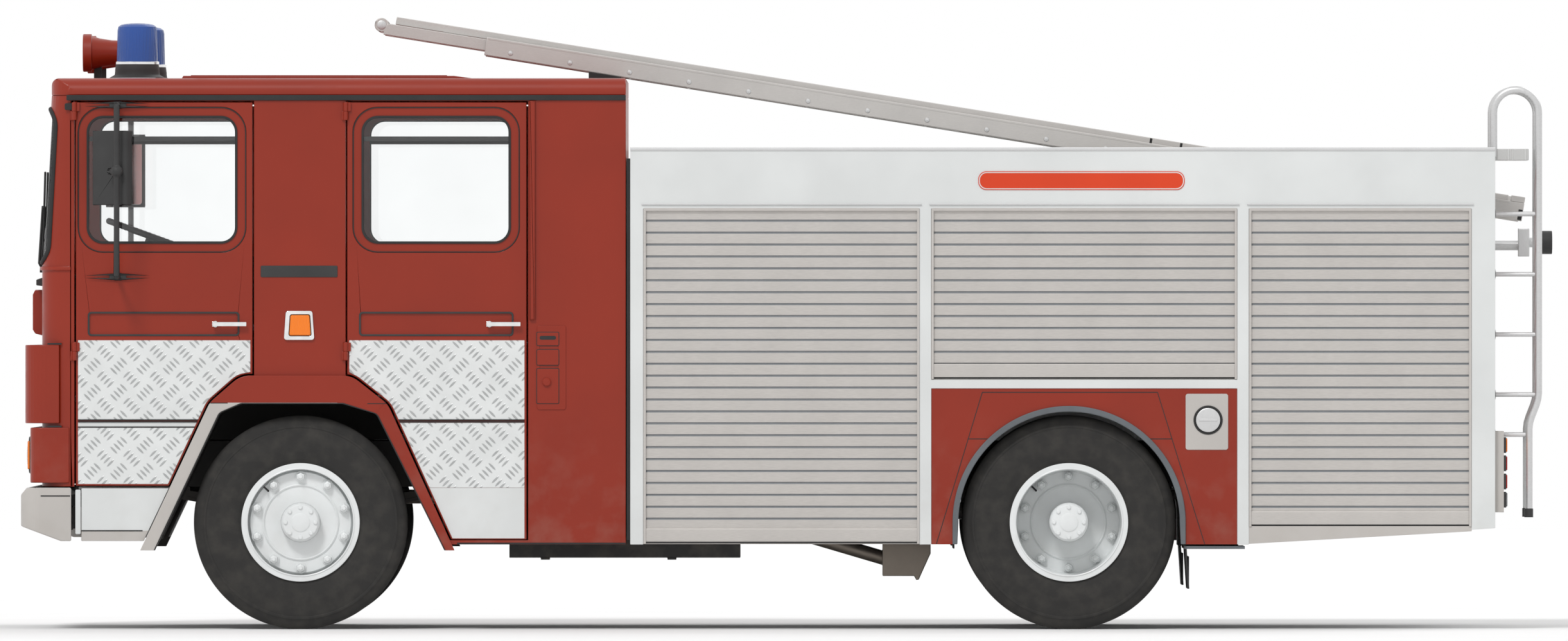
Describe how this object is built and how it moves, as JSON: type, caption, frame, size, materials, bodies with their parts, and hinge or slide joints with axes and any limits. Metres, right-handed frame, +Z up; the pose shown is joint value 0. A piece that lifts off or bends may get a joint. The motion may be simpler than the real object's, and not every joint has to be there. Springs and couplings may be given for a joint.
{
  "type": "crew-cab fire engine",
  "caption": "Cab-over fire engine with crew cab, shuttered locker body, sliding roof ladder, beacons and horns; wheels, steering, doors and ladder move.",
  "frame": {"origin": "on the ground, under the middle of the overall length and width", "axes": "+X forward, +Y to the vehicle's left, +Z up"},
  "size_m": [7.605, 2.89, 3.037],
  "materials": {
    "chassis_black": "satin",
    "spring_steel": "satin",
    "exhaust_steel": "brushed",
    "floor_tread": "textured",
    "red_paint": "gloss",
    "clear_glass": "polished",
    "lamp_lens": "polished",
    "warm_grey_paint": "satin",
    "black_plastic": "matte",
    "seat_fabric": "matte",
    "blue_lens": "gloss",
    "bare_aluminium": "brushed",
    "pale_paint": "gloss",
    "shutter_aluminium": "satin",
    "rubber_trim": "matte",
    "tube_aluminium": "satin",
    "red_lens": "gloss",
    "ladder_aluminium": "satin",
    "wheel_paint": "gloss",
    "tyre_rubber": "matte"
  },
  "bodies": {
    "root": {"chassis_frame": "chassis_black", "engine_and_gearbox": "chassis_black", "front_axle": "chassis_black", "rear_axle": "chassis_black", "leaf_springs": "spring_steel", "propshaft": "spring_steel", "exhaust": "exhaust_steel", "fuel_tank": "chassis_black", "battery_box": "chassis_black", "cab_floor": "floor_tread", "cab_front": "red_paint", "cab_sides": "red_paint", "cab_roof": "red_paint", "cab_rear_wall": "red_paint", "windscreen": "clear_glass", "wheel_arches": "red_paint", "front_panels": "red_paint", "headlamps": "lamp_lens", "front_bumper": "warm_grey_paint", "dashboard": "black_plastic", "seats": "seat_fabric", "beacons": "blue_lens", "horns": "red_paint", "body_floor": "bare_aluminium", "body_sides": "pale_paint", "body_roof": "pale_paint", "body_ends": "pale_paint", "roller_shutters": "shutter_aluminium", "rear_wheel_panels": "red_paint", "rear_mudguards": "rubber_trim", "access_ladder": "tube_aluminium", "rear_lamps": "red_lens", "ladder_rests": "warm_grey_paint"},
    "front_left_door": {"front_left_door": "red_paint", "front_left_glass": "clear_glass", "left_mirror": "black_plastic"},
    "rear_left_door": {"rear_left_door": "red_paint", "rear_left_glass": "clear_glass"},
    "front_right_door": {"front_right_door": "red_paint", "front_right_glass": "clear_glass", "right_mirror": "black_plastic"},
    "rear_right_door": {"rear_right_door": "red_paint", "rear_right_glass": "clear_glass"},
    "left_knuckle": {"left_knuckle": "chassis_black"},
    "right_knuckle": {"right_knuckle": "chassis_black"},
    "track_rod": {"track_rod": "chassis_black"},
    "steering_wheel": {"steering_wheel": "black_plastic"},
    "ladder_main": {"ladder_main": "ladder_aluminium"},
    "ladder_middle": {"ladder_middle": "ladder_aluminium"},
    "ladder_top": {"ladder_top": "ladder_aluminium"},
    "front_left_wheel": {"front_left_wheel": "wheel_paint", "front_left_tyre": "tyre_rubber"},
    "front_right_wheel": {"front_right_wheel": "wheel_paint", "front_right_tyre": "tyre_rubber"},
    "rear_left_wheels": {"rear_left_wheels": "wheel_paint", "rear_left_tyres": "tyre_rubber"},
    "rear_right_wheels": {"rear_right_wheels": "wheel_paint", "rear_right_tyres": "tyre_rubber"}
  },
  "joints": [
    {"name": "steer", "type": "hinge", "parent": "root", "child": "left_knuckle", "pos_m": [2.4195, 0.91, 0.528], "axis": [0, 0, 1], "range_deg": [-35, 35]},
    {"name": "steer_right", "type": "hinge", "parent": "root", "child": "right_knuckle", "pos_m": [2.4195, -0.91, 0.528], "axis": [0, 0, 1], "range_deg": [-35, 35]},
    {"name": "track_rod_swing", "type": "hinge", "parent": "left_knuckle", "child": "track_rod", "pos_m": [2.2495, 0.91, 0.528], "axis": [0, 0, 1], "range_deg": [-35, 35]},
    {"name": "steering_wheel_turn", "type": "hinge", "parent": "root", "child": "steering_wheel", "pos_m": [3.1935, -0.64, 1.945], "axis": [-0.342, 0, 0.9397], "range_deg": [-560, 560]},
    {"name": "front_left_wheel_spin", "type": "hinge", "parent": "left_knuckle", "child": "front_left_wheel", "pos_m": [2.4195, 0.99, 0.528], "axis": [0, 1, 0], "continuous": true},
    {"name": "front_right_wheel_spin", "type": "hinge", "parent": "right_knuckle", "child": "front_right_wheel", "pos_m": [2.4195, -0.99, 0.528], "axis": [0, 1, 0], "continuous": true},
    {"name": "rear_left_wheels_spin", "type": "hinge", "parent": "root", "child": "rear_left_wheels", "pos_m": [-1.3805, 1.01, 0.528], "axis": [0, 1, 0], "continuous": true},
    {"name": "rear_right_wheels_spin", "type": "hinge", "parent": "root", "child": "rear_right_wheels", "pos_m": [-1.3805, -1.01, 0.528], "axis": [0, 1, 0], "continuous": true},
    {"name": "front_left_door_swing", "type": "hinge", "parent": "root", "child": "front_left_door", "pos_m": [3.5365, 1.183, 1.9], "axis": [0, 0, -1], "range_deg": [0, 75]},
    {"name": "rear_left_door_swing", "type": "hinge", "parent": "root", "child": "rear_left_door", "pos_m": [2.1955, 1.183, 1.9], "axis": [0, 0, -1], "range_deg": [0, 75]},
    {"name": "front_right_door_swing", "type": "hinge", "parent": "root", "child": "front_right_door", "pos_m": [3.5365, -1.183, 1.9], "axis": [0, 0, 1], "range_deg": [0, 75]},
    {"name": "rear_right_door_swing", "type": "hinge", "parent": "root", "child": "rear_right_door", "pos_m": [2.1955, -1.183, 1.9], "axis": [0, 0, 1], "range_deg": [0, 75]},
    {"name": "ladder_slide", "type": "slide", "parent": "root", "child": "ladder_main", "axis": [-0.9874, 0, -0.1581], "range_m": [0, 2.5]},
    {"name": "ladder_extend", "type": "slide", "parent": "ladder_main", "child": "ladder_middle", "axis": [0.9874, 0, 0.1581], "range_m": [0, 3.6]},
    {"name": "ladder_top_extend", "type": "slide", "parent": "ladder_middle", "child": "ladder_top", "axis": [0.9874, 0, 0.1581], "range_m": [0, 3.6]}
  ],
  "couplings": [
    {"joint": "steer_right", "follows": "steer", "ratio": 1},
    {"joint": "track_rod_swing", "follows": "steer", "ratio": -1},
    {"joint": "steering_wheel_turn", "follows": "steer", "ratio": 16},
    {"joint": "ladder_top_extend", "follows": "ladder_extend", "ratio": 1}
  ]
}
